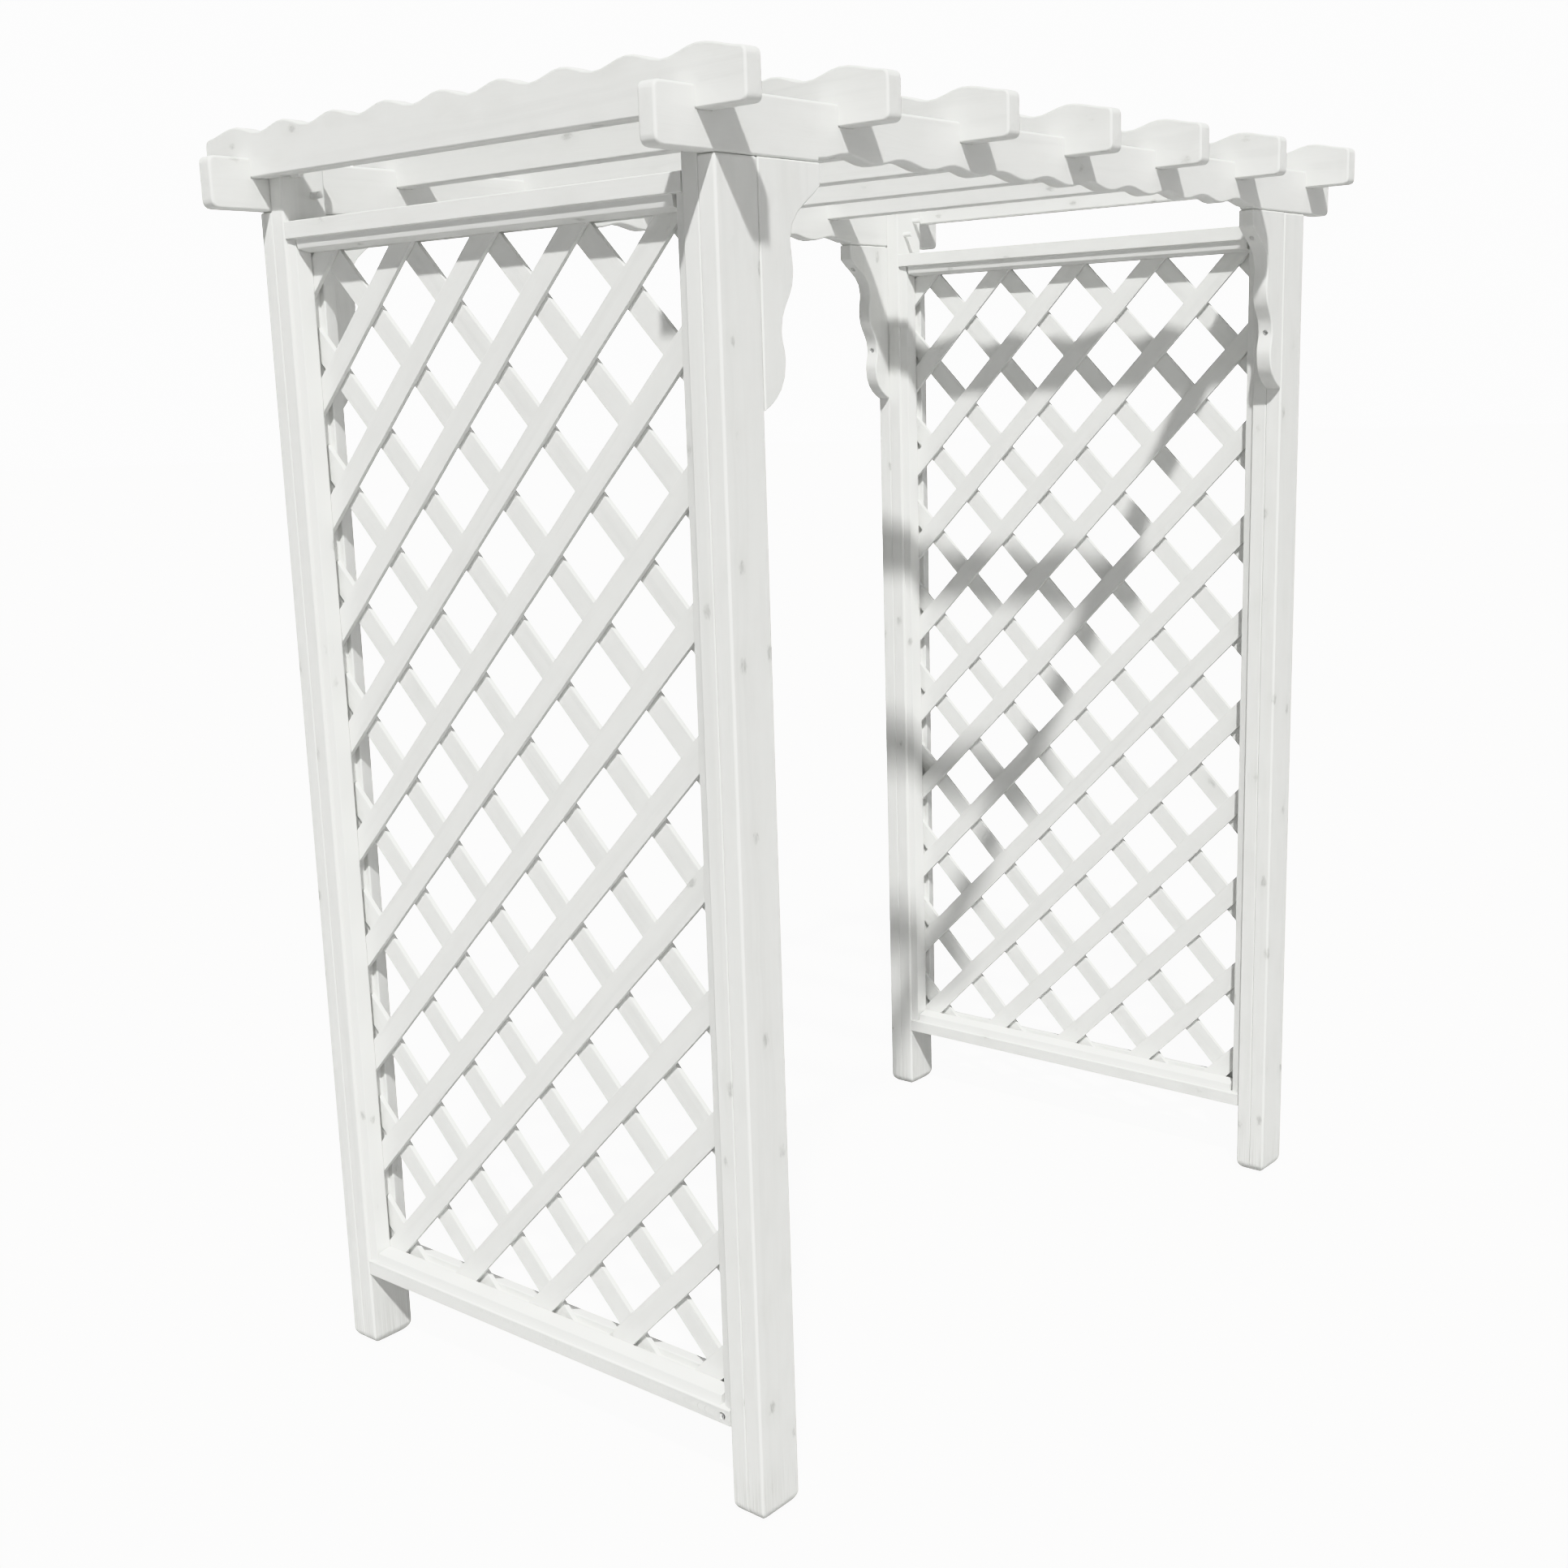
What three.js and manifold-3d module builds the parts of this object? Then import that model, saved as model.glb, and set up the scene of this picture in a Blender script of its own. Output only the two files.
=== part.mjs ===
// A white painted timber garden arch: four laminated posts, two header beams, seven cross
// rafters, four scroll brackets and two lattice side panels, all held by wood screws.
// Millimetres, +Z up. X runs across the passage and Y through it, and the front faces -Y.
// The origin is on the ground in the middle of the arch.
import * as THREE from "three";
import { mergeVertices } from "three/addons/utils/BufferGeometryUtils.js";
import Module from "manifold-3d";

const wasm = await Module();
wasm.setup();

// ---- Driving dimensions ----
const FIT = 0.3; // clearance wherever two pieces touch

const ARCH_WIDTH = 1788; // over the posts, across the passage
const ARCH_DEPTH = 1028; // over the posts, through the passage
const BOARD = 32; // thickness of the post plies, the beams and the brackets
const POST_WIDTH = 89;
const FOOT_RADIUS = 24; // rounding of the sawn feet

const BEAM_BOTTOM = 2056; // headroom under the header beams
const BEAM_HEIGHT = 83;
const BEAM_OVERHANG = 112; // past the posts
const BEAM_END_RADIUS = 16; // lower corner of a beam's end
const SCALLOP_COUNT = 10;
const SCALLOP_LOW = 4; // the scallops' cusps above the beam's underside
const SCALLOP_DEPTH = 10;

const RAFTER_COUNT = 7;
const RAFTER_THICKNESS = 34;
const RAFTER_HEIGHT = 84;
const RAFTER_LAP = 32; // depth of the notches that the rafters sit in
const RAFTER_OVERHANG = 90; // past the beams
const END_CORNER_RADIUS = 12; // the other corners of the beams' and rafters' ends
const HUMP_COUNT = 9;
const HUMP_PITCH = 130;
const HUMP_DEPTH = 13;
const WAVE_STEPS = 8; // straight steps in one wave

const BRACKET_REACH = 136; // along the beam
const BRACKET_DROP = 345; // down the post
const BRACKET_NOSE = 32; // height of the square end of the arm
const BRACKET_WAIST = 43; // width at the waist, where the screw goes in
const WAIST_DROP = 234;

const RAIL_HEIGHT = 50;
const RAIL_FACE = 28; // height of the rail's upright outer face
const RAIL_QUIRK = 5; // narrow ledge between the outer face and the steep step
const RAIL_STEP = 16; // height of the steep step
const RAIL_LIP = 14; // half width of the lip round the groove
const MOULDING = RAIL_HEIGHT - RAIL_FACE; // the same moulding runs up the inner plies
const BOTTOM_RAIL_BASE = 150; // above the ground
const TOP_RAIL_TOP = 2037;

const LATH_WIDTH = 41;
const LATH_THICKNESS = 9;
const LATH_BITE = 0.2; // how far the two layers press into each other
const LATTICE_PITCH = 196.5; // from crossing to crossing, along and up
const CROSSING_HEIGHT = 1791; // one crossing on the panel's middle line
const GROOVE_DEPTH = 12;

const SCREW_RADIUS = 2.5;
const HEAD_RADIUS = 5.5;
const HEAD_HEIGHT = 4;
const HEAD_SINK = 2.5; // how far the heads lie below a visible face
const COUNTERBORE_RADIUS = 6;
const COUNTERBORE_LENGTH = 70;
const SCREW_SIDES = 8;

// ---- Sizes that follow ----
const POST_X = ARCH_WIDTH / 2 - POST_WIDTH / 2; // middle of a post
const OUTER_PLY_Y = ARCH_DEPTH / 2 - BOARD / 2; // middle of an outer ply
const INNER_PLY_Y = OUTER_PLY_Y - BOARD;
const BEAM_TOP = BEAM_BOTTOM + BEAM_HEIGHT;
const BEAM_LENGTH = ARCH_WIDTH + 2 * BEAM_OVERHANG;
const RAFTER_BOTTOM = BEAM_TOP - RAFTER_LAP;
const RAFTER_LENGTH = ARCH_DEPTH + 2 * RAFTER_OVERHANG;
const END_RAFTER_X = ARCH_WIDTH / 2 + FIT + RAFTER_THICKNESS / 2;
const RAFTER_PITCH = (2 * END_RAFTER_X) / (RAFTER_COUNT - 1);
const PANEL_DEPTH = ARCH_DEPTH - 4 * BOARD; // clear depth between front and back posts
const LATTICE_THICKNESS = 2 * LATH_THICKNESS;
const LATTICE_LOW = BOTTOM_RAIL_BASE + RAIL_HEIGHT - GROOVE_DEPTH;
const LATTICE_HIGH = TOP_RAIL_TOP - RAIL_HEIGHT + GROOVE_DEPTH;

// ---- Finishes ----
const paintedTimber = new THREE.MeshStandardMaterial({ color: 0xe3e4e0, roughness: 0.62, metalness: 0 });
const lathPaint = new THREE.MeshStandardMaterial({ color: 0xdfe0dc, roughness: 0.66, metalness: 0 });
const zincSteel = new THREE.MeshStandardMaterial({ color: 0x9c9f9d, roughness: 0.42, metalness: 0.9 });

// ---- Solids ----
function toSolid(geometry) {
  const bare = geometry.clone();
  bare.deleteAttribute("normal");
  bare.deleteAttribute("uv");
  const merged = mergeVertices(bare, 1e-4);
  const corners = merged.index.array;
  const triangles = [];
  for (let i = 0; i < corners.length; i += 3) {
    const [a, b, c] = corners.slice(i, i + 3);
    if (a !== b && b !== c && c !== a) triangles.push(a, b, c);
  }
  return new wasm.Manifold(
    new wasm.Mesh({
      numProp: 3,
      vertProperties: new Float32Array(merged.attributes.position.array),
      triVerts: new Uint32Array(triangles),
    }),
  );
}

function toGeometry(solid) {
  const mesh = solid.getMesh();
  const geometry = new THREE.BufferGeometry();
  geometry.setAttribute("position", new THREE.BufferAttribute(mesh.vertProperties, 3));
  geometry.setIndex(new THREE.BufferAttribute(mesh.triVerts, 1));
  geometry.computeVertexNormals();
  return geometry;
}

function cut(geometry, tools) {
  return toGeometry(tools.reduce((left, tool) => left.subtract(toSolid(tool)), toSolid(geometry)));
}

// A shape drawn on X and Z, given a thickness along Y about its middle.
function uprightBoard(shape, thickness, curveSegments = 4) {
  const geometry = new THREE.ExtrudeGeometry(shape, { depth: thickness, bevelEnabled: false, curveSegments });
  geometry.translate(0, 0, -thickness / 2);
  return geometry.rotateX(Math.PI / 2);
}

// A shape drawn on Y and Z, given a thickness along X about its middle.
function crossBoard(shape, thickness, curveSegments = 4) {
  return uprightBoard(shape, thickness, curveSegments).rotateZ(Math.PI / 2);
}

function addPiece(group, name, geometry, material, x, y, z) {
  const mesh = new THREE.Mesh(geometry, material);
  mesh.name = name;
  mesh.position.set(x, y, z);
  group.add(mesh);
  return mesh;
}

// ---- Posts ----
// A ply is a board with rounded corners at its foot.
function plyShape(height) {
  const half = POST_WIDTH / 2;
  const shape = new THREE.Shape();
  shape.moveTo(-half + FOOT_RADIUS, 0);
  shape.absarc(half - FOOT_RADIUS, FOOT_RADIUS, FOOT_RADIUS, -Math.PI / 2, 0);
  shape.lineTo(half, height);
  shape.lineTo(-half, height);
  shape.absarc(-half + FOOT_RADIUS, FOOT_RADIUS, FOOT_RADIUS, Math.PI, 1.5 * Math.PI);
  return shape;
}

// The outer ply carries the beam on its end.
function outerPly() {
  return uprightBoard(plyShape(BEAM_BOTTOM - FIT), BOARD - FIT);
}

// Half of the moulding's section from the flat face outwards: a narrow ledge, a steep step and a
// gentle slope to the lip of the groove that the lattice slides into.
function mouldingOutline() {
  const ledge = POST_WIDTH / 2 - RAIL_QUIRK;
  const groove = LATTICE_THICKNESS / 2 + FIT;
  return [
    [ledge, 1],
    [ledge - 3, 1 + RAIL_STEP],
    [RAIL_LIP, MOULDING],
    [groove, MOULDING],
    [groove, MOULDING - GROOVE_DEPTH],
  ];
}

// The inner ply runs up behind the beam and carries the moulding between the two rails.
function innerPly(innerSide) {
  const ply = uprightBoard(plyShape(BEAM_TOP), BOARD - FIT);
  const outline = mouldingOutline();
  const shape = new THREE.Shape();
  shape.moveTo(-outline[0][0], -1);
  shape.lineTo(outline[0][0], -1);
  for (const [x, z] of outline) shape.lineTo(x, z);
  for (const [x, z] of [...outline].reverse()) shape.lineTo(-x, z);
  const low = BOTTOM_RAIL_BASE + RAIL_FACE + FIT;
  const high = TOP_RAIL_TOP - RAIL_FACE - FIT;
  const moulding = uprightBoard(shape, high - low).rotateX((-innerSide * Math.PI) / 2);
  moulding.translate(0, (innerSide * (BOARD - FIT)) / 2, (low + high) / 2);
  return toGeometry(toSolid(ply).add(toSolid(moulding)));
}

// ---- Header beams ----
function beamShape() {
  const end = BEAM_LENGTH / 2;
  const scallopEnd = ARCH_WIDTH / 2 - POST_WIDTH - BRACKET_REACH;
  const shape = new THREE.Shape();
  shape.moveTo(-end + END_CORNER_RADIUS, BEAM_HEIGHT);
  shape.quadraticCurveTo(-end, BEAM_HEIGHT, -end, BEAM_HEIGHT - END_CORNER_RADIUS);
  shape.lineTo(-end, BEAM_END_RADIUS);
  shape.quadraticCurveTo(-end, 0, -end + BEAM_END_RADIUS, 0);
  shape.lineTo(-scallopEnd, 0);
  const steps = SCALLOP_COUNT * WAVE_STEPS;
  for (let i = 0; i <= steps; i++) {
    const rise = (1 - Math.cos((2 * Math.PI * i) / WAVE_STEPS)) / 2;
    shape.lineTo(-scallopEnd + (2 * scallopEnd * i) / steps, SCALLOP_LOW + SCALLOP_DEPTH * rise);
  }
  shape.lineTo(scallopEnd, 0);
  shape.lineTo(end - BEAM_END_RADIUS, 0);
  shape.quadraticCurveTo(end, 0, end, BEAM_END_RADIUS);
  shape.lineTo(end, BEAM_HEIGHT - END_CORNER_RADIUS);
  shape.quadraticCurveTo(end, BEAM_HEIGHT, end - END_CORNER_RADIUS, BEAM_HEIGHT);
  return shape;
}

function rafterX(index) {
  return -END_RAFTER_X + index * RAFTER_PITCH;
}

function headerBeam() {
  const notches = [];
  for (let i = 0; i < RAFTER_COUNT; i++) {
    const notch = new THREE.BoxGeometry(RAFTER_THICKNESS + 2 * FIT, 2 * BOARD, 2 * (RAFTER_LAP + FIT));
    notches.push(notch.translate(rafterX(i), 0, BEAM_HEIGHT));
  }
  return cut(uprightBoard(beamShape(), BOARD - FIT), notches);
}

// ---- Rafters ----
// Height of the top edge: even humps as far as the last crest, then one long fall to the end.
function rafterTop(y) {
  const lastCrest = ((HUMP_COUNT - 1) / 2) * HUMP_PITCH;
  const past = Math.max(0, Math.abs(y) - lastCrest) / (RAFTER_LENGTH / 2 - lastCrest);
  const phase = past > 0 ? Math.PI * past : (2 * Math.PI * y) / HUMP_PITCH;
  return RAFTER_HEIGHT - (HUMP_DEPTH * (1 - Math.cos(phase))) / 2;
}

function rafterShape() {
  const end = RAFTER_LENGTH / 2;
  const corner = END_CORNER_RADIUS;
  const endTop = RAFTER_HEIGHT - HUMP_DEPTH;
  const shape = new THREE.Shape();
  shape.moveTo(-end + corner, 0);
  shape.lineTo(end - corner, 0);
  shape.quadraticCurveTo(end, 0, end, corner);
  shape.lineTo(end, endTop - corner);
  shape.quadraticCurveTo(end, endTop, end - corner, rafterTop(end - corner));
  const steps = HUMP_COUNT * WAVE_STEPS;
  const waved = end - 2 * corner;
  for (let i = 0; i <= steps; i++) {
    const y = waved - (2 * waved * i) / steps;
    shape.lineTo(y, rafterTop(y));
  }
  shape.lineTo(-end + corner, rafterTop(end - corner));
  shape.quadraticCurveTo(-end, endTop, -end, endTop - corner);
  shape.lineTo(-end, corner);
  shape.quadraticCurveTo(-end, 0, -end + corner, 0);
  return shape;
}

// ---- Brackets ----
// The corner between the post and the beam is the shape's origin, and side is +1 when the arm
// points to +X. Three curves run from the nose of the arm to the tip on the post.
function bracketShape(side) {
  const bulge = BRACKET_WAIST * 1.67; // widest part of the upper lobe
  const lobe = BRACKET_WAIST * 1.16; // widest part of the lower lobe
  const drop = (share) => -BRACKET_DROP * share;
  const shape = new THREE.Shape();
  shape.moveTo(0, 0);
  shape.lineTo(side * BRACKET_REACH, 0);
  shape.lineTo(side * BRACKET_REACH, -BRACKET_NOSE);
  shape.bezierCurveTo(side * 112, drop(0.16), side * 66, drop(0.2), side * 67, drop(0.31));
  shape.bezierCurveTo(side * 68, drop(0.36), side * bulge, drop(0.39), side * bulge, drop(0.44));
  shape.bezierCurveTo(side * bulge, drop(0.55), side * BRACKET_WAIST, drop(0.57), side * BRACKET_WAIST, -WAIST_DROP);
  shape.bezierCurveTo(side * BRACKET_WAIST, drop(0.73), side * lobe, drop(0.74), side * lobe, drop(0.8));
  shape.bezierCurveTo(side * lobe, drop(0.92), side * 22, drop(0.97), 0, -BRACKET_DROP);
  return shape;
}

// ---- Side panels ----
function railShape() {
  const half = POST_WIDTH / 2;
  const moulding = mouldingOutline().map(([x, z]) => [x, z + RAIL_FACE]);
  const outline = [[half, 0], [half, RAIL_FACE], ...moulding];
  const shape = new THREE.Shape();
  shape.moveTo(-half, 0);
  for (const [x, z] of outline) shape.lineTo(x, z);
  for (const [x, z] of outline.slice(1).reverse()) shape.lineTo(-x, z);
  return shape;
}

// A rail's moulding stops short of its ends, where the plies' moulding stands on it.
function rail() {
  const length = PANEL_DEPTH - 2 * FIT;
  const notches = [-1, 1].map((end) => {
    const notch = new THREE.BoxGeometry(2 * POST_WIDTH, 2 * (MOULDING + FIT), 2 * MOULDING);
    return notch.translate(0, (end * PANEL_DEPTH) / 2, RAIL_FACE + MOULDING);
  });
  return cut(uprightBoard(railShape(), length), notches);
}

// Laths in one layer all lean the same way: lean is +1 when they rise towards the back.
function lathLayer(lean, x) {
  const middle = (LATTICE_LOW + LATTICE_HIGH) / 2;
  const length = 2 * PANEL_DEPTH;
  const reach = Math.ceil((LATTICE_HIGH - LATTICE_LOW + PANEL_DEPTH) / 2 / LATTICE_PITCH) + 1;
  const phase = (CROSSING_HEIGHT - middle) % LATTICE_PITCH;
  const laths = [];
  for (let i = -reach; i <= reach; i++) {
    const lath = new THREE.BoxGeometry(LATH_THICKNESS + LATH_BITE, LATH_WIDTH, length);
    lath.rotateX((-lean * Math.PI) / 4);
    laths.push(toSolid(lath.translate(x, 0, phase + i * LATTICE_PITCH)));
  }
  return laths;
}

// Two crossed layers of laths, stapled into one panel and sawn square at the edges.
function lattice() {
  const offset = LATH_THICKNESS / 2 - LATH_BITE / 2;
  const laths = [...lathLayer(-1, -offset), ...lathLayer(1, offset)];
  const panel = laths.reduce((joined, lath) => joined.add(lath));
  const depth = PANEL_DEPTH - 2 * MOULDING + 2 * (GROOVE_DEPTH - FIT);
  const height = LATTICE_HIGH - LATTICE_LOW - 2 * FIT;
  return toGeometry(panel.intersect(toSolid(new THREE.BoxGeometry(100, depth, height))));
}

// ---- Screws ----
// A screw lies along -Y of its own frame, with the top of its head at the origin.
function turned(profile) {
  return new THREE.LatheGeometry(profile.map(([r, y]) => new THREE.Vector2(r, y)), SCREW_SIDES);
}

function screwBody(length) {
  return turned([[0, -length], [SCREW_RADIUS, -length + 4], [SCREW_RADIUS, -HEAD_HEIGHT], [HEAD_RADIUS, 0], [0, 0]]);
}

// The hole for a screw, with a counterbore that lets the head go below the surface.
function screwHole(length) {
  const shank = SCREW_RADIUS + FIT;
  return turned([
    [0, -length - 1],
    [shank, -length - 1],
    [shank, -HEAD_HEIGHT - FIT],
    [HEAD_RADIUS + FIT, -FIT],
    [COUNTERBORE_RADIUS, 0],
    [COUNTERBORE_RADIUS, COUNTERBORE_LENGTH],
    [0, COUNTERBORE_LENGTH],
  ]);
}

// Drives a screw into the pieces it joins. The direction points from the tip to the head.
function addScrew(group, name, head, direction, length, pieces) {
  const screw = addPiece(group, name, screwBody(length), zincSteel, ...head);
  screw.quaternion.setFromUnitVectors(new THREE.Vector3(0, 1, 0), new THREE.Vector3(...direction));
  screw.updateMatrixWorld();
  for (const piece of pieces) {
    piece.updateMatrixWorld();
    const toPiece = piece.matrixWorld.clone().invert().multiply(screw.matrixWorld);
    piece.geometry = cut(piece.geometry, [screwHole(length).applyMatrix4(toPiece)]);
  }
}

// ---- Assembly ----
const arch = new THREE.Group();
const sides = [["left", -1], ["right", 1]];
const faces = [["front", -1], ["back", 1]];

const rafters = [];
for (let i = 0; i < RAFTER_COUNT; i++) {
  const geometry = crossBoard(rafterShape(), RAFTER_THICKNESS);
  rafters.push(addPiece(arch, `rafter_${i + 1}`, geometry, paintedTimber, rafterX(i), 0, RAFTER_BOTTOM));
}

for (const [face, towards] of faces) {
  const plyY = towards * OUTER_PLY_Y;
  const beam = addPiece(arch, `${face}_header_beam`, headerBeam(), paintedTimber, 0, plyY, BEAM_BOTTOM);

  for (const [side, out] of sides) {
    const corner = `${face}_${side}`;
    const postX = out * POST_X;
    const outer = addPiece(arch, `${corner}_post_outer_ply`, outerPly(), paintedTimber, postX, plyY, 0);
    const innerY = towards * INNER_PLY_Y;
    const inner = addPiece(arch, `${corner}_post_inner_ply`, innerPly(-towards), paintedTimber, postX, innerY, 0);

    const cornerX = out * (POST_X - POST_WIDTH / 2 - FIT);
    const scroll = uprightBoard(bracketShape(-out), BOARD - FIT, 5);
    const bracketZ = BEAM_BOTTOM - FIT;
    const bracket = addPiece(arch, `${corner}_bracket`, scroll, paintedTimber, cornerX, plyY, bracketZ);

    const waistHead = [cornerX - out * (BRACKET_WAIST - HEAD_SINK), plyY, BEAM_BOTTOM - WAIST_DROP];
    addScrew(arch, `${corner}_bracket_post_screw`, waistHead, [-out, 0, 0], 75, [bracket, outer]);
    const armHead = [cornerX - out * (BRACKET_REACH - 28), plyY, BEAM_BOTTOM - BRACKET_NOSE - 14];
    addScrew(arch, `${corner}_bracket_beam_screw`, armHead, [0, 0, -1], 70, [bracket, beam]);

    for (const [level, share] of [["low", -1], ["high", 1]]) {
      const headY = towards * (INNER_PLY_Y - BOARD / 2 + 2);
      const head = [postX + out * share * 18, headY, BEAM_BOTTOM + BEAM_HEIGHT / 2 + share * 16];
      addScrew(arch, `${corner}_beam_screw_${level}`, head, [0, -towards, 0], 55, [inner, beam]);
    }
  }

  rafters.forEach((rafter, i) => {
    const head = [rafterX(i), plyY, RAFTER_BOTTOM + RAFTER_HEIGHT - 32];
    addScrew(arch, `rafter_${i + 1}_${face}_screw`, head, [0, 0, 1], 90, [rafter, beam]);
  });
}

for (const [side, out] of sides) {
  const railX = out * POST_X;
  addPiece(arch, `${side}_bottom_rail`, rail(), paintedTimber, railX, 0, BOTTOM_RAIL_BASE);
  const topRail = addPiece(arch, `${side}_top_rail`, rail(), paintedTimber, railX, 0, TOP_RAIL_TOP);
  topRail.rotation.y = Math.PI;
  const latticeZ = (LATTICE_LOW + LATTICE_HIGH) / 2;
  addPiece(arch, `${side}_lattice`, lattice(), lathPaint, railX, 0, latticeZ);
}

export default arch;
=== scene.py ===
"""A white painted timber garden arch: boards with eased edges, lattices of laths, and wood screws."""

import math
import random

import bmesh
import bpy
from mathutils import Matrix, Vector, noise


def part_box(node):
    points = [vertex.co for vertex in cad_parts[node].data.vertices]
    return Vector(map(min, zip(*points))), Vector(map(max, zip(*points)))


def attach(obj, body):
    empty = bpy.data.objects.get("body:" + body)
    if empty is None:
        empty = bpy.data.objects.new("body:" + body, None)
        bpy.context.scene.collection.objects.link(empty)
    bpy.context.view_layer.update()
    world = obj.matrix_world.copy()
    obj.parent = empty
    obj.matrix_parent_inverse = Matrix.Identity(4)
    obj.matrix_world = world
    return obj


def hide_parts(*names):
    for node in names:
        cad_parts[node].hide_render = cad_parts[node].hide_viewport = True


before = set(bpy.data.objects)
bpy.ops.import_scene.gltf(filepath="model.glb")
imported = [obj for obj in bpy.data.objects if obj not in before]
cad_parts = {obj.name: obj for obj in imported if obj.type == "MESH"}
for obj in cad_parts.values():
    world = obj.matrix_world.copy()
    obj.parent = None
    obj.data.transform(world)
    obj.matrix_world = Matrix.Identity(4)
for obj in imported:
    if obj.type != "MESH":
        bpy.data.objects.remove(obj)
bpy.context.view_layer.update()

# ---- Sizes, in metres ----
POST_EDGE = 0.0042  # rounding of the long edges, by kind of timber
JOINT_EDGE = 0.0018  # rounding along the joint between a post's plies
BEAM_EDGE = 0.0042
RAFTER_EDGE = 0.0038
BRACKET_EDGE = 0.0026
MOULDING_EDGE = 0.0014
EDGE_SEGMENTS = 3
SHARP_ANGLE = math.radians(32)  # shallower creases are parts of a curve
HOLE_REACH = 0.0075  # from a screw's axis to the far side of its hole's rim
FOOT_ROUNDING = 0.023  # the foot's rounding on the faces that its plies show
FOOT_ROWS = 7
FOOT_TAPER = 0.35  # how much of that rounding the foot's other two sides get as well

LATH_WIDTH = 0.041
LATTICE_PITCH = 0.1965
CROSSING_HEIGHT = 1.791
LATH_EDGE = 0.0012
LATH_STEP = 0.03  # between the cross-sections that let a lath wander
LATH_WANDER = 0.0009  # how far a lath bends sideways
LATH_SWELL = 0.025  # how much its width changes, as a share
LATH_GAP = 0.0001

SCREW_SIDES = 24
HEAD_RADIUS = 0.0055
HEAD_HEIGHT = 0.004
CORE_RADIUS = 0.0017
THREAD_RADIUS = 0.0025
THREAD_PITCH = 0.0028
NECK_END = 0.35  # where a screw's plain neck ends, as a share of its length
THREAD_START = 0.36
POINT_LENGTH = 0.006
RAIL_SCREW_INSET = 0.016  # from the rail's end
RAIL_SCREW_RISE = 0.0145  # from the rail's flat side
RAIL_SCREW_SINK = 0.001
RAIL_SCREW_LENGTH = 0.07
POCKET_SPACE = 0.0006  # round a head in its drilled pocket
FILLER_RADIUS = 0.0058
FILLER_GAP = 0.0002  # over the screw's head, and the height of the filler's rounded rim
FILLER_MIDDLE = 0.001  # radius of the innermost ring of its top

CAMERA_PLACE = (-2.915, -2.326, 1.7435)
CAMERA_HEADING = -49.63  # degrees, as the next two
CAMERA_DIP = 12.28
CAMERA_ROLL = -1.75
CAMERA_LENS, CAMERA_SENSOR = 44.28, 36.0  # millimetres
CAMERA_SHIFT = (-0.0023, 0.0150)

STUDIO_REACH = 60.0
GRAIN_SPREAD = 40.0  # how far apart two boards are taken from the same imagined tree
KNOT_WOBBLE = 0.011  # how far a knot's outline strays from an oval
dice = random.Random(7)


# ---- Material tools ----
class Graph:
    """Adds nodes to a tree, each with its inputs given as values or as other nodes' outputs."""

    def __init__(self, tree):
        self.tree = tree

    def add(self, kind, inputs=None, **settings):
        node = self.tree.nodes.new("ShaderNode" + kind)
        for name, value in settings.items():
            setattr(node, name, value)
        for socket, value in (inputs or {}).items():
            if isinstance(value, bpy.types.NodeSocket):
                self.tree.links.new(value, node.inputs[socket])
            else:
                node.inputs[socket].default_value = value
        return node

    def math(self, operation, a, b=0.0, c=0.0):
        node = self.add("Math", {0: a, 1: b, 2: c}, operation=operation)
        return node.outputs[0]

    def vector(self, operation, a, b=(0.0, 0.0, 0.0)):
        node = self.add("VectorMath", {0: a, 1: b}, operation=operation)
        return node.outputs["Value" if operation == "LENGTH" else "Vector"]

    def step(self, value, start, end):
        """A smooth step from 0 at start to 1 at end."""
        inputs = {"Value": value, "From Min": start, "From Max": end}
        return self.add("MapRange", inputs, interpolation_type="SMOOTHSTEP").outputs["Result"]

    def noise(self, place, scale, detail=2.0, roughness=0.5):
        inputs = {"Vector": self.vector("MULTIPLY", place, scale), "Scale": 1.0}
        inputs.update({"Detail": detail, "Roughness": roughness})
        return self.add("TexNoise", inputs).outputs["Fac"]

    def mix(self, share, a, b):
        node = self.add("Mix", {"Factor": share}, data_type="RGBA")
        for socket, value in (("A_Color", a), ("B_Color", b)):
            target = next(s for s in node.inputs if s.identifier == socket)
            if isinstance(value, bpy.types.NodeSocket):
                self.tree.links.new(value, target)
            else:
                target.default_value = (*value, 1.0)
        return next(s for s in node.outputs if s.identifier == "Result_Color")


def new_material(name, roughness, metallic=0.0):
    material = bpy.data.materials.new(name)
    material.use_nodes = True
    shader = material.node_tree.nodes["Principled BSDF"]
    shader.inputs["Roughness"].default_value = roughness
    shader.inputs["Metallic"].default_value = metallic
    return material, Graph(material.node_tree), shader


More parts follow.
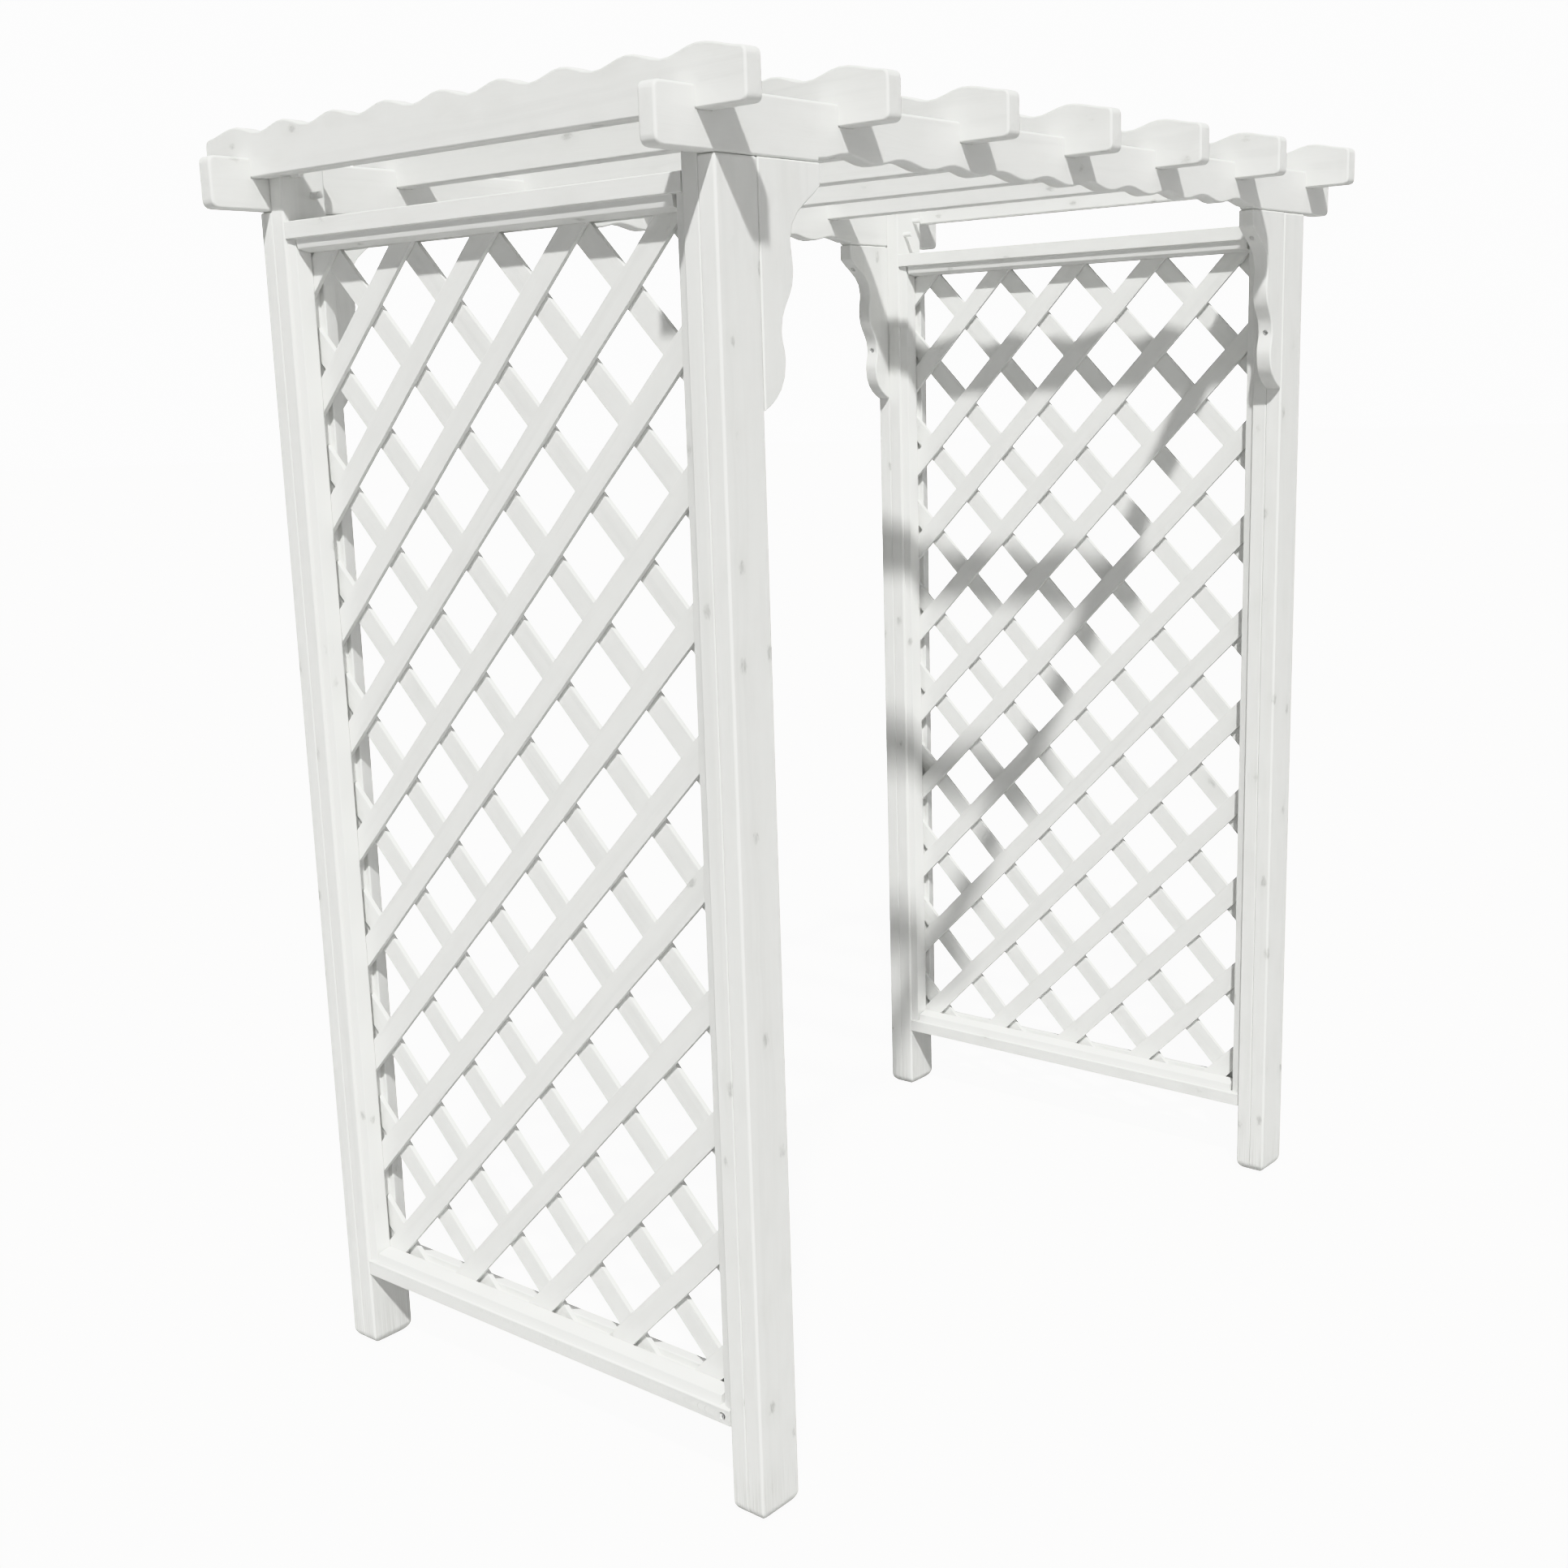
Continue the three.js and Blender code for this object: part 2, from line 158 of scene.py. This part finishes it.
# ---- Materials ----
def knots(g, place, cell, smallest, largest, share):
    """Knots as long balls in the wood: how much of one shows, its darker rim, and its surroundings."""
    scaled = g.vector("DIVIDE", place, cell)
    cells = g.add("TexVoronoi", {"Vector": scaled, "Scale": 1.0, "Randomness": 0.9})
    apart = g.vector("SUBTRACT", scaled, cells.outputs["Position"])
    apart = g.vector("MULTIPLY", g.vector("MULTIPLY", apart, cell), (0.6, 1.0, 1.0))
    wobble = g.noise(place, (70.0, 170.0, 170.0), 3.0, 0.6)
    distance = g.math("MULTIPLY_ADD", wobble, KNOT_WOBBLE, g.vector("LENGTH", apart))
    colour = g.add("SeparateColor", {"Color": cells.outputs["Color"]})
    radius = g.math("MULTIPLY_ADD", colour.outputs["Red"], largest - smallest, smallest + KNOT_WOBBLE / 2)
    there = g.math("LESS_THAN", colour.outputs["Green"], share)
    nearness = g.math("DIVIDE", distance, radius)
    body = g.math("MULTIPLY", g.step(nearness, 1.2, 0.5), there)
    worn = g.step(g.noise(place, (90.0, 150.0, 150.0), 2.0), 0.42, 0.62)
    rim = g.math("MULTIPLY", g.math("MULTIPLY", g.step(nearness, 0.5, 0.8), body), worn)
    halo = g.math("MULTIPLY", g.step(nearness, 3.0, 0.7), there)
    return body, rim, halo


def painted_wood(name, paint, knot_cell, knot_share, relief):
    """Satin white paint over softwood. The attribute "grain" holds the place in the wood, in metres:
    along the grain, across the board and through it."""
    material, g, shader = new_material(name, 0.5)
    place = g.add("Attribute", attribute_name="grain").outputs["Vector"]

    body, rim, halo = knots(g, place, knot_cell, 0.004, 0.0085, knot_share)
    drift = g.noise(place, (1.6, 9.0, 9.0), 2.0)
    around = g.math("MULTIPLY_ADD", halo, 0.006, g.math("MULTIPLY", drift, 0.05))
    swing = g.add("CombineXYZ", {"Y": around, "Z": g.math("MULTIPLY", drift, 0.03)})
    bent = g.vector("ADD", place, swing.outputs["Vector"])

    bands = g.noise(bent, (0.8, 48.0, 48.0), 3.0, 0.5)
    fibres = g.noise(bent, (8.0, 420.0, 420.0), 3.0, 0.65)
    brush = g.noise(place, (12.0, 150.0, 150.0), 2.0)
    peel = g.noise(place, (700.0, 700.0, 700.0), 1.0)
    cloud = g.noise(place, (2.5, 12.0, 12.0), 3.0)
    blotch = g.noise(place, (9.0, 34.0, 34.0), 3.0)
    thin = g.step(cloud, 0.4, 0.65)

    shade = g.math("MULTIPLY", g.step(bands, 0.5, 0.72), 0.4)
    shade = g.math("MULTIPLY_ADD", g.math("MULTIPLY", g.step(fibres, 0.5, 0.82), thin), 0.4, shade)
    colour = g.mix(shade, paint, [c * 0.91 for c in paint])
    colour = g.mix(g.math("MULTIPLY", g.step(blotch, 0.45, 0.75), 0.5), colour, [c * 0.955 for c in paint])
    colour = g.mix(g.math("MULTIPLY", halo, 0.16), colour, (0.66, 0.665, 0.64))
    colour = g.mix(g.math("MULTIPLY", body, 0.62), colour, (0.52, 0.525, 0.505))
    colour = g.mix(g.math("MULTIPLY", rim, 0.5), colour, (0.36, 0.365, 0.35))

    spot = g.add("TexCoord").outputs["Object"]
    height = g.add("SeparateXYZ", {"Vector": spot}).outputs["Z"]
    speckle = g.noise(spot, (60.0, 60.0, 60.0), 4.0, 0.7)
    runs = g.noise(place, (7.0, 380.0, 380.0), 3.0, 0.65)
    splash = g.math("MULTIPLY", g.step(height, 0.13, 0.0), g.step(runs, 0.4, 0.7))
    colour = g.mix(g.math("MULTIPLY", splash, 0.42), colour, (0.5, 0.5, 0.475))
    up = g.add("SeparateXYZ", {"Vector": g.add("NewGeometry").outputs["True Normal"]}).outputs["Z"]
    dust = g.math("MULTIPLY", g.step(up, 0.35, 0.95), g.step(speckle, 0.5, 0.85))
    colour = g.mix(g.math("MULTIPLY", dust, 0.3), colour, (0.64, 0.64, 0.61))
    g.tree.links.new(colour, shader.inputs["Base Color"])

    gloss = g.math("MULTIPLY_ADD", brush, 0.16, g.math("MULTIPLY_ADD", body, 0.1, 0.44))
    g.tree.links.new(g.math("MULTIPLY_ADD", splash, 0.2, gloss), shader.inputs["Roughness"])

    layers = ((fibres, 0.00014), (brush, 0.0001), (peel, 0.00003), (body, -0.00022), (rim, 0.0003))
    lift = g.math("MULTIPLY", bands, 0.00022)
    for layer, depth in layers:
        lift = g.math("MULTIPLY_ADD", layer, depth, lift)
    bump = g.add("Bump", {"Height": lift, "Strength": relief, "Distance": 1.0})
    g.tree.links.new(bump.outputs["Normal"], shader.inputs["Normal"])
    return material


def zinc_plate():
    """Dull zinc on steel, with fine turning marks, scuffs and a little white bloom."""
    material, g, shader = new_material("zinc_plate", 0.4, 1.0)
    place = g.add("TexCoord").outputs["Object"]
    scuffs = g.noise(place, (900.0, 900.0, 900.0), 3.0, 0.7)
    turning = g.noise(place, (300.0, 300.0, 4200.0), 1.0)
    bloom = g.step(g.noise(place, (420.0, 420.0, 420.0), 2.0), 0.5, 0.75)
    colour = g.mix(scuffs, (0.56, 0.57, 0.58), (0.74, 0.74, 0.73))
    colour = g.mix(g.math("MULTIPLY", bloom, 0.4), colour, (0.8, 0.8, 0.78))
    g.tree.links.new(colour, shader.inputs["Base Color"])
    g.tree.links.new(g.math("MULTIPLY_ADD", bloom, 0.25, 0.36), shader.inputs["Roughness"])
    lift = g.math("MULTIPLY_ADD", turning, 0.00003, g.math("MULTIPLY", scuffs, 0.00002))
    bump = g.add("Bump", {"Height": lift, "Strength": 0.7, "Distance": 1.0})
    g.tree.links.new(bump.outputs["Normal"], shader.inputs["Normal"])
    return material


def plain_paper(name, colour, roughness, glow=0.0):
    """Studio paper: matt and even, with the faintest unevenness, and lit from behind where it glows."""
    material, g, shader = new_material(name, roughness)
    shader.inputs["Emission Color"].default_value = (1.0, 1.0, 1.0, 1.0)
    shader.inputs["Emission Strength"].default_value = glow
    place = g.add("TexCoord").outputs["Object"]
    cloud = g.noise(place, (0.7, 0.7, 0.7), 2.0)
    tone = g.mix(cloud, [c * 0.99 for c in colour], colour)
    g.tree.links.new(tone, shader.inputs["Base Color"])
    return material


TIMBER_PAINT = painted_wood("timber_paint", (0.80, 0.805, 0.79), (0.19, 0.06, 0.03), 0.8, 0.8)
LATH_PAINT = painted_wood("lath_paint", (0.80, 0.805, 0.79), (0.4, 0.06, 0.05), 0.35, 1.0)
ZINC = zinc_plate()


# ---- Piece tools ----
def new_mesh(name, bm):
    mesh = bpy.data.meshes.new(name)
    bm.to_mesh(mesh)
    bm.free()
    return mesh


def close_tube(bm, loops):
    """Joins loops of corners into a closed tube, with its faces pointing out."""
    for upper, lower in zip(loops, loops[1:]):
        for k in range(len(upper)):
            n = (k + 1) % len(upper)
            bm.faces.new((upper[k], lower[k], lower[n], upper[n]))
    bm.faces.new(loops[0])
    bm.faces.new(reversed(loops[-1]))
    bmesh.ops.recalc_face_normals(bm, faces=bm.faces)


def add_piece(name, mesh, material, replaced=()):
    mesh.materials.clear()
    mesh.materials.append(material)
    piece = bpy.data.objects.new(name, mesh)
    bpy.context.scene.collection.objects.link(piece)
    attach(piece, "root")
    if replaced:
        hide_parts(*replaced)
    return piece


def smooth_between_creases(piece, angle=SHARP_ANGLE):
    mesh = piece.data
    mesh.polygons.foreach_set("use_smooth", [True] * len(mesh.polygons))
    mesh.set_sharp_from_angle(angle=angle)
    even = piece.modifiers.new("even_normals", "WEIGHTED_NORMAL")
    even.keep_sharp = True
    even.weight = 90


def lay_grain(bm, axes, offset):
    """Stores each corner's place in the wood: along the grain, across the board and through it."""
    layer = bm.verts.layers.float_vector.get("grain") or bm.verts.layers.float_vector.new("grain")
    for vert in bm.verts:
        vert[layer] = Vector([vert.co.dot(axis) for axis in axes]) + offset


def grain_offset():
    return Vector((dice.uniform(-1, 1) * GRAIN_SPREAD, dice.uniform(0.02, 0.09), dice.uniform(0.01, 0.07)))


# ---- Screws ----
def screw_frame(node):
    """The middle of the top of a CAD screw's head, the direction out of it, and the screw's length."""
    low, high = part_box(node)
    middle, size = (low + high) / 2, high - low
    axis = max(range(3), key=lambda i: size[i])
    along = Vector([float(i == axis) for i in range(3)])
    corners = [v.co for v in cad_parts[node].data.vertices]
    radii = [((c - middle) - along * (c - middle).dot(along)).length for c in corners]
    rim = [c for c, radius in zip(corners, radii) if radius > max(radii) * 0.95]
    side = math.copysign(1.0, sum((c - middle).dot(along) for c in rim))
    direction = along * side
    return middle + direction * size[axis] / 2, direction, size[axis]


def screw_mesh(length):
    """A countersunk wood screw along -Z, with the top of its head at the origin: a cross recess,
    a cone, a plain neck and a thread that runs out to the point."""
    bm = bmesh.new()
    recess = [(0.0011, -0.0022), (0.0027, -0.0015), (0.0034, -0.0001)]
    head = [(0.0052, 0.0), (HEAD_RADIUS, -0.0003), (THREAD_RADIUS, -HEAD_HEIGHT)]
    rings = [*recess, *head, (THREAD_RADIUS, -NECK_END * length)]
    loops = []
    for index, (radius, z) in enumerate(rings):
        loop = []
        for k in range(SCREW_SIDES):
            turn = 2 * math.pi * k / SCREW_SIDES
            in_arm = k % (SCREW_SIDES // 4) == 0
            drop = z if index != 1 or in_arm else -0.0002
            loop.append(bm.verts.new((radius * math.cos(turn), radius * math.sin(turn), drop)))
        loops.append(loop)
    start = THREAD_START * length
    steps = round((length - start) / (THREAD_PITCH / 4))
    for s in range(steps + 1):
        down = start + (length - start) * s / steps
        taper = min(1.0, (length - down) / POINT_LENGTH)
        loop = []
        for k in range(SCREW_SIDES):
            share = k / SCREW_SIDES
            tooth = abs(((down / THREAD_PITCH + share) % 1.0) - 0.5) * 2
            radius = CORE_RADIUS + (THREAD_RADIUS - CORE_RADIUS) * max(0.0, 1 - 2.2 * tooth)
            radius = max(radius * taper, 0.0002)
            turn = 2 * math.pi * share
            loop.append(bm.verts.new((radius * math.cos(turn), radius * math.sin(turn), -down)))
        loops.append(loop)
    close_tube(bm, loops)
    mesh = new_mesh(f"wood_screw_{round(length * 1000)}", bm)
    mesh.polygons.foreach_set("use_smooth", [True] * len(mesh.polygons))
    mesh.set_sharp_from_angle(angle=SHARP_ANGLE)
    return mesh


def drive_screw(name, mesh, head, direction, replaced=()):
    screw = add_piece(name, mesh, ZINC)
    turn = Matrix.Rotation(dice.uniform(0, math.pi / 2), 4, "Z")
    place = Vector((0, 0, 1)).rotation_difference(direction).to_matrix().to_4x4()
    screw.matrix_world = Matrix.Translation(head) @ place @ turn
    if replaced:
        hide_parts(*replaced)


def drive_cad_screws():
    meshes = {}
    for node in sorted(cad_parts):
        if "_screw" not in node:
            continue
        head, direction, length = screw_frame(node)
        key = round(length, 3)
        if key not in meshes:
            meshes[key] = screw_mesh(length)
        drive_screw(f"{node}_threaded", meshes[key], head, direction, [node])
        if "beam_screw" in node and "bracket" not in node:
            fill_beam_screw(node)


# ---- Boards ----
SCREW_AXES = [screw_frame(n)[:2] for n in sorted(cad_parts) if "_screw" in n]
POST_MIDDLE_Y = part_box("back_left_post_inner_ply")[1].y  # the joint between a post's plies
MOULDING_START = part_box("left_bottom_rail")[1].y  # where the flat of an inner ply meets its moulding
RAFTER_BOXES = [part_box(n) for n in sorted(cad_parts) if n.startswith("rafter_") and "_screw" not in n]


def at_screw_hole(point):
    for head, direction in SCREW_AXES:
        offset = point - head
        if (offset - direction * offset.dot(direction)).length < HOLE_REACH:
            return True
    return False


def in_rafter_notch(point, slack=0.001):
    return any(
        low.x - slack < point.x < high.x + slack and point.z > low.z - slack for low, high in RAFTER_BOXES
    )


def round_foot(bm, low, high):
    """Pulls in the shown face of a ply close to the ground, so that the foot is round all the way."""
    end = math.copysign(1.0, low.y + high.y)
    is_outer = max(high.y, -low.y) > POST_MIDDLE_Y + 0.001
    outward = end if is_outer else -end
    joint = end * POST_MIDDLE_Y
    centre, half_width = (low.x + high.x) / 2, (high.x - low.x) / 2
    face = (high.y if end > 0 else low.y) if is_outer else end * (MOULDING_START + 0.0005)
    for row in range(1, FOOT_ROWS + 1):
        z = FOOT_ROUNDING * (1 - math.cos(math.pi / 2 * row / FOOT_ROWS))
        parts = [*bm.verts, *bm.edges, *bm.faces]
        bmesh.ops.bisect_plane(bm, geom=parts, plane_co=(0, 0, z), plane_no=(0, 0, 1))
    for vert in bm.verts:
        if vert.co.z < FOOT_ROUNDING:
            inset = FOOT_ROUNDING - math.sqrt(FOOT_ROUNDING**2 - (FOOT_ROUNDING - max(vert.co.z, 0.0)) ** 2)
            vert.co.y -= outward * inset * (1 - abs(face - vert.co.y) / abs(face - joint))
            vert.co.x += (centre - vert.co.x) * FOOT_TAPER * inset / half_width


def ease_edges(bm, width, wanted):
    eased = []
    for e in bm.edges:
        if len(e.link_faces) != 2 or not e.is_convex or e.calc_face_angle() < SHARP_ANGLE:
            continue
        if wanted(e) and not all(at_screw_hole(v.co) for v in e.verts):
            eased.append(e)
    bmesh.ops.bevel(bm, geom=eased, offset=width, offset_type="OFFSET", segments=EDGE_SEGMENTS,
                    profile=0.5, affect="EDGES", clamp_overlap=False)


def board(node, axes, *easings):
    """A CAD board with its edges eased: each easing is a width and a test that picks the edges."""
    bm = bmesh.new()
    bm.from_mesh(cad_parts[node].data)
    bmesh.ops.remove_doubles(bm, verts=bm.verts, dist=1e-5)
    bmesh.ops.dissolve_limit(bm, angle_limit=math.radians(0.4), verts=bm.verts, edges=bm.edges)
    for width, wanted in easings:
        ease_edges(bm, width, wanted)
    if "ply" in node:
        round_foot(bm, *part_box(node))
    lay_grain(bm, axes, grain_offset())
    mesh = new_mesh(node + "_board", bm)
    piece = add_piece(node + "_board", mesh, TIMBER_PAINT, [node])
    smooth_between_creases(piece)
    return piece


# For each direction of the grain: along it, across the board and through it.
ALONG_X = (Vector((1, 0, 0)), Vector((0, 0, 1)), Vector((0, 1, 0)))
ALONG_Y = (Vector((0, 1, 0)), Vector((0, 0, 1)), Vector((1, 0, 0)))
ALONG_Z = (Vector((0, 0, 1)), Vector((1, 0, 0)), Vector((0, 1, 0)))


def middle_of(e):
    return (e.verts[0].co + e.verts[1].co) / 2


def runs_along(e, axis):
    run = e.verts[1].co - e.verts[0].co
    return abs(run.dot(axis)) > 0.9 * run.length


def any_edge(e):
    return True


def in_moulding(point):
    """Between the flat faces of the posts' plies, where only their mouldings reach."""
    return abs(point.y) < MOULDING_START


def at_ply_joint(point, slack=0.001):
    """On the plane where the two plies of a post meet."""
    return abs(abs(point.y) - POST_MIDDLE_Y) < slack


def make_boards():
    for node in sorted(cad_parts):
        if "_screw" in node or "lattice" in node:
            continue
        if node.startswith("rafter"):
            board(node, ALONG_Y, (RAFTER_EDGE, any_edge))
        elif "beam" in node:
            board(node, ALONG_X, (BEAM_EDGE, lambda e: not in_rafter_notch(middle_of(e))))
        elif "bracket" in node:
            board(node, ALONG_Z, (BRACKET_EDGE, any_edge))
        elif "ply" in node:
            board(node, ALONG_Z,
                  (POST_EDGE, lambda e: not in_moulding(middle_of(e)) and not at_ply_joint(middle_of(e))),
                  (JOINT_EDGE, lambda e: at_ply_joint(middle_of(e))),
                  (MOULDING_EDGE, lambda e: in_moulding(middle_of(e)) and runs_along(e, ALONG_Z[0])))
        else:
            rail = board(node, ALONG_Y, (MOULDING_EDGE, lambda e: runs_along(e, ALONG_Y[0])))
            screw_rail(rail, node)


def screw_rail(rail, node):
    """Drives a slanted screw through each end of a rail into its post. The front end of a bottom rail
    has it in the outer face, and every other end in the flat side."""
    low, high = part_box(node)
    outward = math.copysign(1.0, low.x + high.x)
    downward = -1.0 if "bottom" in node else 1.0
    flat_side = low.z if "bottom" in node else high.z
    face = high.x if outward > 0 else low.x
    mesh = screw_mesh(RAIL_SCREW_LENGTH)
    cutters = []
    for end, towards in (("front", -1), ("back", 1)):
        y = (low.y if towards < 0 else high.y) - towards * RAIL_SCREW_INSET
        if "bottom" in node and end == "front":
            rim = Vector((face, y, flat_side - downward * RAIL_SCREW_RISE))
            direction = Vector((outward, -towards * 0.5, 0)).normalized()
        else:
            rim = Vector(((low.x + high.x) / 2, y, flat_side))
            direction = Vector((0, -towards * 2.0, downward)).normalized()
        drive_screw(f"{node}_{end}_screw", mesh, rim - direction * RAIL_SCREW_SINK, direction)
        cutters.append((rim, direction))
    drill(rail, cutters)


def drill(piece, holes, radius=HEAD_RADIUS + POCKET_SPACE, depth=0.006):
    """Cuts round pockets, each from the middle of its rim and the direction out of it."""
    bm = bmesh.new()
    for rim, direction in holes:
        turn = Vector((0, 0, 1)).rotation_difference(direction).to_matrix().to_4x4()
        place = Matrix.Translation(rim) @ turn
        bmesh.ops.create_cone(bm, cap_ends=True, segments=32, radius1=radius, radius2=radius,
                              depth=2 * depth, matrix=place)
    cutter = bpy.data.objects.new("pocket", new_mesh("pocket", bm))
    bpy.context.scene.collection.objects.link(cutter)
    cut = piece.modifiers.new("pockets", "BOOLEAN")
    cut.object, cut.solver = cutter, "EXACT"
    piece.modifiers.move(len(piece.modifiers) - 1, 0)
    bpy.context.view_layer.update()
    evaluated = piece.evaluated_get(bpy.context.evaluated_depsgraph_get())
    result = bpy.data.meshes.new_from_object(evaluated)
    piece.modifiers.clear()
    piece.data = result
    bpy.data.objects.remove(cutter)
    smooth_between_creases(piece)


def fill_beam_screw(node):
    """Levels the pocket over a beam screw's head with filler, painted over with the post."""
    head, direction, _ = screw_frame(node)
    low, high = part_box(node.rsplit("_beam_screw", 1)[0] + "_post_inner_ply")
    face = high.y if direction.y > 0 else low.y
    depth = abs(face - head.y)
    bm = bmesh.new()
    rings = [(FILLER_RADIUS, FILLER_GAP), (FILLER_RADIUS, depth - FILLER_GAP)]
    rings += [(FILLER_RADIUS * 0.7, depth), (FILLER_MIDDLE, depth)]
    loops = []
    for radius, out in rings:
        loop = []
        for k in range(SCREW_SIDES):
            turn = 2 * math.pi * k / SCREW_SIDES
            place = Vector((radius * math.cos(turn), direction.y * out, radius * math.sin(turn)))
            loop.append(bm.verts.new(head + place))
        loops.append(loop)
    close_tube(bm, loops)
    lay_grain(bm, ALONG_Z, grain_offset())
    mesh = new_mesh(node + "_filler", bm)
    smooth_between_creases(add_piece(node + "_filler", mesh, TIMBER_PAINT))


# ---- Lattices ----
def lath(bm, x, lean, z, thickness, low, high):
    """One lath of a layer, sawn off where it meets the frame."""
    along = Vector((0, lean, 1)).normalized()
    across = Vector((0, 1, -lean)).normalized()
    reach = 1.5 * (high.y - low.y) / 2 + LATH_WIDTH
    steps = round(2 * reach / LATH_STEP)
    part = bmesh.new()
    seed = dice.uniform(0, 1000)
    width = LATH_WIDTH * dice.uniform(0.98, 1.01)
    half = thickness / 2
    loops = []
    for i in range(steps + 1):
        run = -reach + 2 * reach * i / steps
        shift = LATH_WANDER * noise.noise(Vector((seed, run * 5, 0)))
        spread = width / 2 * (1 + LATH_SWELL * noise.noise(Vector((seed, run * 7, 9))))
        centre = Vector((x, 0, z)) + along * run + across * shift
        loop = []
        for side, depth in ((1, -1), (1, 1), (-1, 1), (-1, -1)):
            loop.append(part.verts.new(centre + across * side * spread + Vector((depth * half, 0, 0))))
        loops.append(loop)
    close_tube(part, loops)
    long_edges = [e for e in part.edges if abs((e.verts[1].co - e.verts[0].co).dot(along)) > LATH_STEP / 2]
    bmesh.ops.bevel(part, geom=long_edges, offset=LATH_EDGE, offset_type="OFFSET", segments=2,
                    profile=0.5, affect="EDGES", clamp_overlap=False)
    saws = (
        (Vector((0, low.y, 0)), Vector((0, -1, 0))),
        (Vector((0, high.y, 0)), Vector((0, 1, 0))),
        (Vector((0, 0, low.z)), Vector((0, 0, -1))),
        (Vector((0, 0, high.z)), Vector((0, 0, 1))),
    )
    for point, normal in saws:
        parts = [*part.verts, *part.edges, *part.faces]
        cut = bmesh.ops.bisect_plane(part, geom=parts, plane_co=point, plane_no=normal, clear_outer=True)
        rim = [e for e in cut["geom_cut"] if isinstance(e, bmesh.types.BMEdge)]
        if rim:
            bmesh.ops.holes_fill(part, edges=rim, sides=0)
    if not part.verts:
        part.free()
        return
    lay_grain(part, (along, across, Vector((1, 0, 0))), grain_offset())
    mesh = new_mesh("lath", part)
    bm.from_mesh(mesh)
    bpy.data.meshes.remove(mesh)


def make_lattice(side):
    """The two layers of laths of a side panel, which lean opposite ways."""
    node = f"{side}_lattice"
    low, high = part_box(node)
    thickness = (high.x - low.x) / 2
    middle = (low.x + high.x) / 2
    bm = bmesh.new()
    bm.verts.layers.float_vector.new("grain")
    half_depth = (high.y - low.y) / 2
    first = math.floor((low.z - half_depth - CROSSING_HEIGHT) / LATTICE_PITCH)
    last = math.ceil((high.z + half_depth - CROSSING_HEIGHT) / LATTICE_PITCH)
    for lean in (-1, 1):
        for i in range(first, last + 1):
            x = middle + lean * thickness / 2
            z = CROSSING_HEIGHT + i * LATTICE_PITCH
            lath(bm, x, lean, z, thickness - LATH_GAP, low, high)
    mesh = new_mesh(f"{side}_laths", bm)
    smooth_between_creases(add_piece(f"{side}_laths", mesh, LATH_PAINT, [node]))


# ---- Stage ----
def stage_piece(name, bm, material):
    mesh = new_mesh(name, bm)
    mesh.materials.append(material)
    piece = bpy.data.objects.new(name, mesh)
    bpy.context.scene.collection.objects.link(piece)
    return piece


def floor_grid():
    bm = bmesh.new()
    bmesh.ops.create_grid(bm, x_segments=1, y_segments=1, size=STUDIO_REACH)
    return bm


def add_stage():
    """A pale floor, a dimmer one under it that sets how much light comes up, and a white surround."""
    pale = plain_paper("pale_paper", (0.7, 0.7, 0.7), 0.95, glow=1.9)
    floor = stage_piece("floor", floor_grid(), pale)
    floor.visible_diffuse = floor.visible_glossy = floor.visible_shadow = False

    dim = plain_paper("bounce_paper", (0.45, 0.45, 0.445), 0.95)
    bounce = stage_piece("bounce_floor", floor_grid(), dim)
    bounce.location.z = -0.001
    bounce.visible_camera = False

    bm = bmesh.new()
    bmesh.ops.create_icosphere(bm, subdivisions=4, radius=STUDIO_REACH)
    white = plain_paper("white_surround", (0.0, 0.0, 0.0), 1.0, glow=3.2)
    surround = stage_piece("surround", bm, white)
    surround.visible_diffuse = surround.visible_glossy = surround.visible_shadow = False


def add_light():
    """A sun, two wide soft lights low in front and behind, and a faint sky."""
    world = bpy.data.worlds.new("studio")
    world.use_nodes = True
    sky = world.node_tree.nodes["Background"]
    sky.inputs["Color"].default_value = (1.0, 1.0, 0.995, 1.0)
    sky.inputs["Strength"].default_value = 0.25
    bpy.context.scene.world = world
    lamps = (
        ("key", 3.6, 2.2, (-1.25, -1.0, 1.96)),
        ("front_card", 0.75, 80.0, (-0.3, -1.0, 0.15)),
        ("back_card", 1.1, 80.0, (1.0, 1.0, 0.3)),
    )
    for name, energy, spread, towards in lamps:
        light = bpy.data.lights.new(name, "SUN")
        light.energy = energy
        light.angle = math.radians(spread)
        light.color = (1.0, 0.998, 0.99)
        lamp = bpy.data.objects.new(name, light)
        lamp.rotation_mode = "QUATERNION"
        lamp.rotation_quaternion = Vector(towards).to_track_quat("Z", "Y")
        bpy.context.scene.collection.objects.link(lamp)


def add_camera():
    lens = bpy.data.cameras.new("camera")
    lens.lens, lens.sensor_width = CAMERA_LENS, CAMERA_SENSOR
    lens.shift_x, lens.shift_y = CAMERA_SHIFT
    camera = bpy.data.objects.new("camera", lens)
    turn = Matrix.Rotation(math.radians(CAMERA_HEADING), 4, "Z")
    tilt = Matrix.Rotation(math.radians(90 - CAMERA_DIP), 4, "X")
    roll = Matrix.Rotation(math.radians(CAMERA_ROLL), 4, "Z")
    camera.matrix_world = Matrix.Translation(CAMERA_PLACE) @ turn @ tilt @ roll
    bpy.context.scene.collection.objects.link(camera)
    bpy.context.scene.camera = camera


make_boards()
drive_cad_screws()
for side in ("left", "right"):
    make_lattice(side)
add_stage()
add_light()
add_camera()
bpy.context.scene.view_settings.view_transform = "Khronos PBR Neutral"
